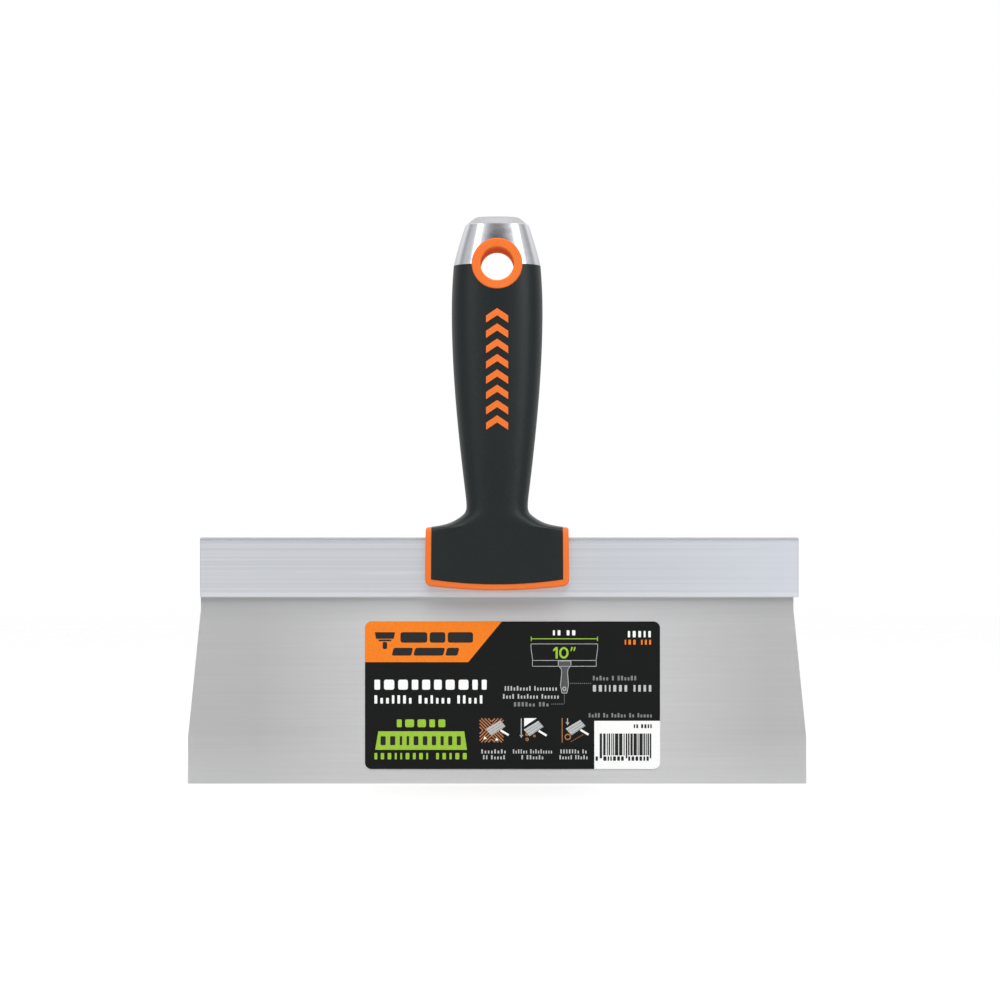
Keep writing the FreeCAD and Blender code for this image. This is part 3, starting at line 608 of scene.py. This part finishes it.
class Pictograms:
    """Three generic work pictograms: a wall finish, a filled hole and a taped joint."""

    def __init__(self):
        self.warm = Print()
        self.lines = Print(layer=3)
        self.pale = Print(layer=2, under=0)
        self.light = Print(layer=2, under=0)
        self.wall_finish()
        self.filled_hole()
        self.taped_joint()
        for across, low, high in ((64.2, 13.6, 20.8), (83.2, 18.8, 20.9)):
            self.down_arrow(across, low, high)

    def knife(self, x, y):
        """A small tilted knife; x, y is the left end of its working edge."""
        edge, top = Vector((x, y)), Vector((x + 6.0, y + 3.6))
        across = Vector((2.4, -2.7))
        self.pale.shape([tuple(edge), tuple(edge + across), tuple(top + across * 0.9), tuple(top)])
        for share in (0.3, 0.6, 0.9):
            low, high = edge.lerp(edge + across, share), top.lerp(top + across * 0.9, share)
            self.lines.stroke(low, high, STRIPE_LINE)
        start = edge.lerp(top, 0.62) + across
        self.light.stroke(start, start + Vector((3.3, -2.0)), SMALL_HANDLE_LINE)

    def down_arrow(self, across, low, high):
        """An arrow that points down."""
        self.pale.stroke((across, low), (across, high), POINTER_LINE)
        self.pale.shape([(across - 0.7, low + 0.4), (across, low - 0.8), (across + 0.7, low + 0.4)])

    def combed_patch(self, left, low, side, rising):
        """Slanting strokes that fill a square; rising runs them from lower left to upper right."""
        pitch = 1.4
        for step in range(1, 7):
            near, far = max(0, step * pitch - side), min(step * pitch, side)
            if rising:
                start, end = (left + side - far, low + near), (left + side - near, low + far)
            else:
                start, end = (left + near, low + far), (left + far, low + near)
            self.warm.stroke(start, end, COMB_LINE)

    def wall_finish(self):
        """A combed wall, its strokes turning from patch to patch, with two touches of filler."""
        side = 4.9
        for column in range(2):
            for row in range(2):
                rising = (column + row) % 2 == 0
                self.combed_patch(47.1 + side * column, 11.0 + side * row, side, rising)
        self.knife(49.6, 16.4)
        for across, up in ((48.6, 12.2), (53.4, 11.6)):
            self.light.shape([(across, up), (across + 1.5, up + 0.2), (across + 0.6, up + 1.3)])

    def filled_hole(self):
        """A smoothed corner above three screw holes."""
        self.light.shape([(65.4, 17.4), (70.6, 20.9), (65.4, 20.9)])
        self.knife(65.2, 16.2)
        for centre, radius in (((66.6, 14.3), 0.7), ((66.6, 12.2), 0.7), ((69.6, 13.6), 0.55)):
            self.warm.washer(centre, radius, radius * 0.4)

    def taped_joint(self):
        """An upright joint beside a roll of tape and a knife."""
        self.warm.stroke((81.0, 10.9), (81.0, 20.9), POINTER_LINE)
        self.warm.dashes((84.6, 11.2), (90.0, 14.4), LEADER_LINE, 0.9)
        self.warm.washer((83.3, 13.2), 1.3, 0.85, count=18)
        self.knife(82.4, 16.6)


def print_code():
    """A made-up pattern of bars on the white panel, with blocks in a row above and below it."""
    layer = Print(layer=2)
    chance = random.Random(CODE_SEED)
    left, middle, right = 96.4, 107.2, 117.8
    guard_low, bar_low, bar_high = 4.4, 5.6, 14.6
    across = left
    while across < right - 0.3:
        width = chance.choice((0.45, 0.65, 1.0, 1.4))
        guard = across < left + 0.8 or abs(across - middle) < 0.7 or across > right - 1.0
        layer.shape(slab_points(across, guard_low if guard else bar_low, across + width, bar_high))
        across += width + chance.choice((0.28, 0.32, 0.45))
    for start, end, count in ((94.7, 95.7, 1), (97.9, 106.3, 6), (108.1, 116.6, 6)):
        layer.words(start, end, 3.4, 1.8, (count,), BOLD_GAP)
    layer.words(110.4, 117.8, 16.8, 1.6, (2, 4))
    return layer


def print_label():
    """Mix the inks and print every piece of the label."""
    white = ink("white", srgb(254, 254, 253), srgb(248, 249, 248))
    orange = ink("orange", srgb(248, 132, 32), srgb(240, 124, 24))
    green = ink("green", srgb(161, 204, 62), srgb(151, 194, 54))
    grey = ink("grey", srgb(200, 201, 202), srgb(184, 186, 187))
    dim = ink("dim", srgb(132, 133, 134), srgb(120, 121, 122))
    charcoal = ink("charcoal", srgb(88, 90, 90), srgb(78, 80, 80))
    dark = ink("dark", srgb(32, 34, 33), srgb(40, 41, 40))
    tan = ink("tan", srgb(190, 128, 84), srgb(170, 112, 72))
    print_orange().finish("label_print_banner", orange)
    print_banner_marks().finish("label_print_banner_marks", dark)
    print_green().finish("label_print_green", green)
    print_panel_words().finish("label_print_panel_words", dark)
    print_white().finish("label_print_white", white)
    print_grey().finish("label_print_grey", grey)
    print_dim().finish("label_print_dim", dim)
    print_handle_mark().finish("label_print_handle_mark", charcoal)
    icons = Pictograms()
    icons.warm.finish("label_print_icons_warm", tan)
    icons.pale.finish("label_print_icons_blades", grey)
    icons.light.finish("label_print_icons_handles", white)
    icons.lines.finish("label_print_icons_lines", charcoal)
    print_code().finish("label_print_code", dark)


# ---------------------------------------------------------------- studio

TENT_FRONT = 0.70
TENT_FLANK = 0.48
TENT_BACK = 1.0
TENT_LOW_BACK = 0.68
TENT_GAP = 0.02
TENT_CEILING = 1.2

FLOOR_TONE = 0.62
FLOOR_GLOW = 0.38
FLOOR_RADIUS = 3.0
FLOOR_FADE_START = 0.45
FLOOR_FADE_END = 1.6

AIM = (0, 0, 0.11)
# name, place, width, height, power in watts
SOFTBOXES = (
    ("key_left", (-0.96, -1.15, 0.78), 0.44, 1.8, 3.9),
    ("key_right", (1.06, -1.06, 0.78), 0.50, 1.8, 7.4),
    ("overhead", (0.0, -0.60, 1.45), 1.5, 0.9, 9.2),
)

CAMERA_PLACE = (0.00117, -1.0, 0.1165)
CAMERA_LENS = 87.62
CAMERA_SENSOR = 36


class Tent(Nodes):
    """The world's node tree; directions run from -1 to 1 along each axis."""

    def __init__(self, world):
        super().__init__(world.node_tree, "ShaderNodeOutputWorld")
        self.direction = self.add("ShaderNodeTexCoord", {}, output="Generated")

    def ramp(self, axis, low, high, out_low, out_high):
        """A smooth change of level along one axis."""
        return self.level(self.split(self.direction, axis), low, high, out_low, out_high, "SMOOTHSTEP")

    def product(self, first, *others):
        """Several levels multiplied together."""
        for other in others:
            first = self.maths("MULTIPLY", first, other)
        return first

    def mix(self, share, first, second):
        """Blend two levels."""
        return self.add("ShaderNodeMix", {0: share, 2: first, 3: second}, data_type="FLOAT")


def make_world():
    """A light tent: white behind the knife, greyer low down there and at the flanks and front.

    A dark gap above the camera gives the polished cap its dark middle.  The camera itself sees
    plain white.
    """
    world = bpy.data.worlds.new("light_tent")
    bpy.context.scene.world = world
    world.use_nodes = True
    tent = Tent(world)
    walls = tent.product(
        tent.ramp("Y", -0.30, 0.10, TENT_FRONT, TENT_FLANK),
        tent.ramp("Y", 0.15, 0.50, 1.0, TENT_BACK / TENT_FLANK),
        tent.ramp("Z", 0.62, 0.90, 1.0, TENT_CEILING))
    gap = tent.product(
        tent.ramp("X", 0.06, 0.42, 1, 0),
        tent.ramp("X", -0.42, -0.06, 0, 1),
        tent.ramp("Z", 0.20, 0.36, 0, 1),
        tent.ramp("Z", 0.52, 0.70, 1, 0),
        tent.ramp("Y", -0.45, -0.25, 1, 0))
    low_back = tent.product(
        tent.ramp("Y", 0.10, 0.40, 0, 1),
        tent.ramp("Z", 0.12, 0.38, 1, 0))
    seen = tent.add("ShaderNodeLightPath", {}, output="Is Camera Ray")
    level = tent.mix(gap, walls, TENT_GAP)
    level = tent.mix(low_back, level, TENT_LOW_BACK)
    level = tent.mix(seen, level, 1.0)
    tent.feed(tent.surface, tent.add("ShaderNodeBackground", {"Color": level}))


def make_floor():
    """A pale disc that fades out into the tent."""
    bpy.ops.mesh.primitive_circle_add(vertices=96, radius=FLOOR_RADIUS, fill_type="NGON")
    floor = bpy.context.object
    floor.name = "floor"
    shader = Shader("pale_floor", roughness=0.7)
    shader.set("Base Color", (FLOOR_TONE, FLOOR_TONE, FLOOR_TONE, 1))
    shader.set("Emission Color", (1, 1, 1, 1))
    seen = shader.add("ShaderNodeLightPath", {}, output="Is Camera Ray")
    shader.set("Emission Strength", shader.maths("MULTIPLY", seen, FLOOR_GLOW))
    reach = shader.add("ShaderNodeVectorMath", {0: shader.place}, output="Value", operation="LENGTH")
    shader.set("Alpha", shader.level(reach, FLOOR_FADE_START, FLOOR_FADE_END, 1, 0))
    floor.data.materials.append(shader.material)


def make_softbox(name, place, width, height, power):
    """A rectangular light that faces the knife."""
    light = bpy.data.lights.new(name, "AREA")
    light.shape = "RECTANGLE"
    light.size = width
    light.size_y = height
    light.energy = power
    lamp = bpy.data.objects.new(name, light)
    lamp.location = place
    lamp.rotation_euler = (Vector(AIM) - Vector(place)).to_track_quat("-Z", "Y").to_euler()
    bpy.context.scene.collection.objects.link(lamp)


def make_camera():
    """Square-on view from one metre, at half the knife's height."""
    camera = bpy.data.cameras.new("camera")
    camera.sensor_width = CAMERA_SENSOR
    camera.lens = CAMERA_LENS
    camera.clip_start = 0.01
    holder = bpy.data.objects.new("camera", camera)
    holder.location = CAMERA_PLACE
    holder.rotation_euler = (math.pi / 2, 0, 0)
    bpy.context.scene.collection.objects.link(holder)
    bpy.context.scene.camera = holder


def make_studio():
    """Tent, floor, lights, camera and a plain display transform."""
    make_world()
    make_floor()
    for softbox in SOFTBOXES:
        make_softbox(*softbox)
    make_camera()
    view = bpy.context.scene.view_settings
    view.view_transform = "Standard"
    view.look = "None"


dress_frame()
print_label()
make_studio()
